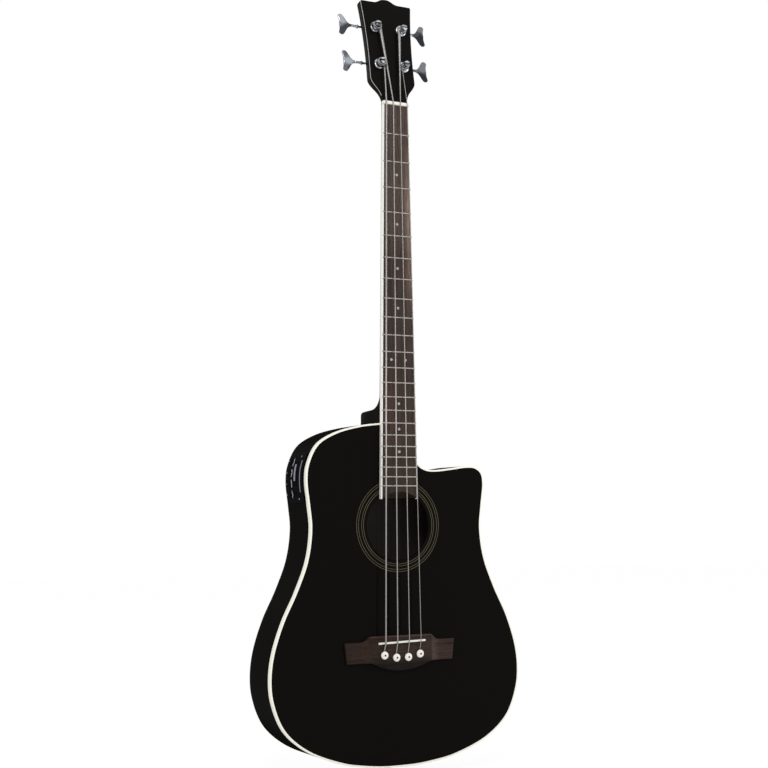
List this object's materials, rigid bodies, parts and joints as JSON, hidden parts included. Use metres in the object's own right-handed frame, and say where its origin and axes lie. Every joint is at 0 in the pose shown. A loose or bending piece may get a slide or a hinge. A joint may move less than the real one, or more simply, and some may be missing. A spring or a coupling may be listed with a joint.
{
  "type": "acoustic bass guitar",
  "caption": "Cutaway acoustic bass guitar with glued neck, pin bridge, worm-geared tuning keys, side preamp and end-pin socket; all tuners and controls move.",
  "frame": {"origin": "on the centre line at the string side of the nut, in the plane of the soundboard's outer face, where a wall hanger's yoke holds the neck below the headstock", "axes": "+Z along the strings toward the headstock, +X toward the treble side with the cutaway, -Y out of the soundboard toward the viewer"},
  "size_m": [0.4165, 0.102, 1.1934],
  "materials": {
    "lacquered_wood": "gloss black lacquer",
    "spruce": "bare",
    "mahogany": "bare",
    "rosewood": "oiled",
    "ivory_plastic": "satin",
    "string_steel": "wound",
    "rod_steel": "bare",
    "chrome": "polished",
    "pickup_brass": "bare",
    "black_plastic": "satin"
  },
  "bodies": {
    "instrument": {"soundboard": "lacquered_wood", "back_plate": "lacquered_wood", "bass_side_rib": "lacquered_wood", "treble_side_rib": "lacquered_wood", "front_binding": "ivory_plastic", "front_lining_bass": "mahogany", "front_lining_treble": "mahogany", "back_lining_bass": "mahogany", "back_lining_treble": "mahogany", "neck_block": "mahogany", "tail_block": "mahogany", "x_brace": "spruce", "upper_brace": "spruce", "bridge_plate": "mahogany", "back_brace_1": "spruce", "back_brace_2": "spruce", "back_brace_3": "spruce", "bridge": "rosewood", "saddle_pickup": "pickup_brass", "saddle": "ivory_plastic", "bridge_pin_e": "ivory_plastic", "bridge_pin_a": "ivory_plastic", "bridge_pin_d": "ivory_plastic", "bridge_pin_g": "ivory_plastic", "neck": "lacquered_wood", "truss_rod": "rod_steel", "fingerboard": "rosewood", "fingerboard_binding_bass": "ivory_plastic", "fingerboard_binding_treble": "ivory_plastic", "nut": "ivory_plastic", "post_bushing_e": "chrome", "post_bushing_a": "chrome", "post_bushing_d": "chrome", "post_bushing_g": "chrome", "tuner_plate_e": "chrome", "tuner_plate_a": "chrome", "tuner_plate_d": "chrome", "tuner_plate_g": "chrome", "string_e": "string_steel", "string_a": "string_steel", "string_d": "string_steel", "string_g": "string_steel", "preamp_panel": "black_plastic", "preamp_case": "black_plastic", "end_pin": "chrome", "battery": "black_plastic"},
    "key_e": {"tuning_key_e": "chrome"},
    "post_e": {"string_post_e": "chrome"},
    "key_a": {"tuning_key_a": "chrome"},
    "post_a": {"string_post_a": "chrome"},
    "key_d": {"tuning_key_d": "chrome"},
    "post_d": {"string_post_d": "chrome"},
    "key_g": {"tuning_key_g": "chrome"},
    "post_g": {"string_post_g": "chrome"},
    "knob_1": {"preamp_knob_1": "black_plastic"},
    "knob_2": {"preamp_knob_2": "black_plastic"},
    "knob_3": {"preamp_knob_3": "black_plastic"},
    "knob_4": {"preamp_knob_4": "black_plastic"},
    "button_1": {"preamp_button_1": "black_plastic"},
    "button_2": {"preamp_button_2": "black_plastic"}
  },
  "joints": [
    {"name": "key_e_turn", "type": "hinge", "parent": "instrument", "child": "key_e", "pos_m": [-0.0209, 0.02893, 0.07158], "axis": [1, 0, 0], "range_deg": [-360, 360]},
    {"name": "post_e_turn", "type": "hinge", "parent": "instrument", "child": "post_e", "pos_m": [-0.0209, 0.00776, 0.06668], "axis": [0, -0.9848, 0.1736], "range_deg": [-18, 18], "deforming": ["string_e"]},
    {"name": "key_a_turn", "type": "hinge", "parent": "instrument", "child": "key_a", "pos_m": [-0.0223, 0.03975, 0.13293], "axis": [1, 0, 0], "range_deg": [-360, 360]},
    {"name": "post_a_turn", "type": "hinge", "parent": "instrument", "child": "post_a", "pos_m": [-0.0223, 0.01857, 0.12803], "axis": [0, -0.9848, 0.1736], "range_deg": [-18, 18], "deforming": ["string_a"]},
    {"name": "key_d_turn", "type": "hinge", "parent": "instrument", "child": "key_d", "pos_m": [0.0223, 0.03975, 0.13293], "axis": [1, 0, 0], "range_deg": [-360, 360]},
    {"name": "post_d_turn", "type": "hinge", "parent": "instrument", "child": "post_d", "pos_m": [0.0223, 0.01857, 0.12803], "axis": [0, -0.9848, 0.1736], "range_deg": [-18, 18], "deforming": ["string_d"]},
    {"name": "key_g_turn", "type": "hinge", "parent": "instrument", "child": "key_g", "pos_m": [0.0209, 0.02893, 0.07158], "axis": [1, 0, 0], "range_deg": [-360, 360]},
    {"name": "post_g_turn", "type": "hinge", "parent": "instrument", "child": "post_g", "pos_m": [0.0209, 0.00776, 0.06668], "axis": [0, -0.9848, 0.1736], "range_deg": [-18, 18], "deforming": ["string_g"]},
    {"name": "knob_1_turn", "type": "hinge", "parent": "instrument", "child": "knob_1", "pos_m": [-0.14931, 0.054, -0.59623], "axis": [-0.9911, 0, -0.1329], "range_deg": [-150, 150]},
    {"name": "knob_2_turn", "type": "hinge", "parent": "instrument", "child": "knob_2", "pos_m": [-0.1507, 0.054, -0.58073], "axis": [-0.9962, 0, -0.0874], "range_deg": [-150, 150]},
    {"name": "knob_3_turn", "type": "hinge", "parent": "instrument", "child": "knob_3", "pos_m": [-0.15008, 0.054, -0.56523], "axis": [-0.9969, 0, 0.0791], "range_deg": [-150, 150]},
    {"name": "knob_4_turn", "type": "hinge", "parent": "instrument", "child": "knob_4", "pos_m": [-0.14655, 0.054, -0.54973], "axis": [-0.9465, 0, 0.3228], "range_deg": [-150, 150]},
    {"name": "button_1_press", "type": "slide", "parent": "instrument", "child": "button_1", "axis": [0.9911, 0, 0.1329], "range_m": [0, 0.0008], "stiffness_N_per_m": 300, "springref_m": -0.001},
    {"name": "button_2_press", "type": "slide", "parent": "instrument", "child": "button_2", "axis": [0.9911, 0, 0.1329], "range_m": [0, 0.0008], "stiffness_N_per_m": 300, "springref_m": -0.001}
  ],
  "couplings": [
    {"joint": "post_e_turn", "follows": "key_e_turn", "ratio": 0.05},
    {"joint": "post_a_turn", "follows": "key_a_turn", "ratio": 0.05},
    {"joint": "post_d_turn", "follows": "key_d_turn", "ratio": 0.05},
    {"joint": "post_g_turn", "follows": "key_g_turn", "ratio": 0.05}
  ]
}
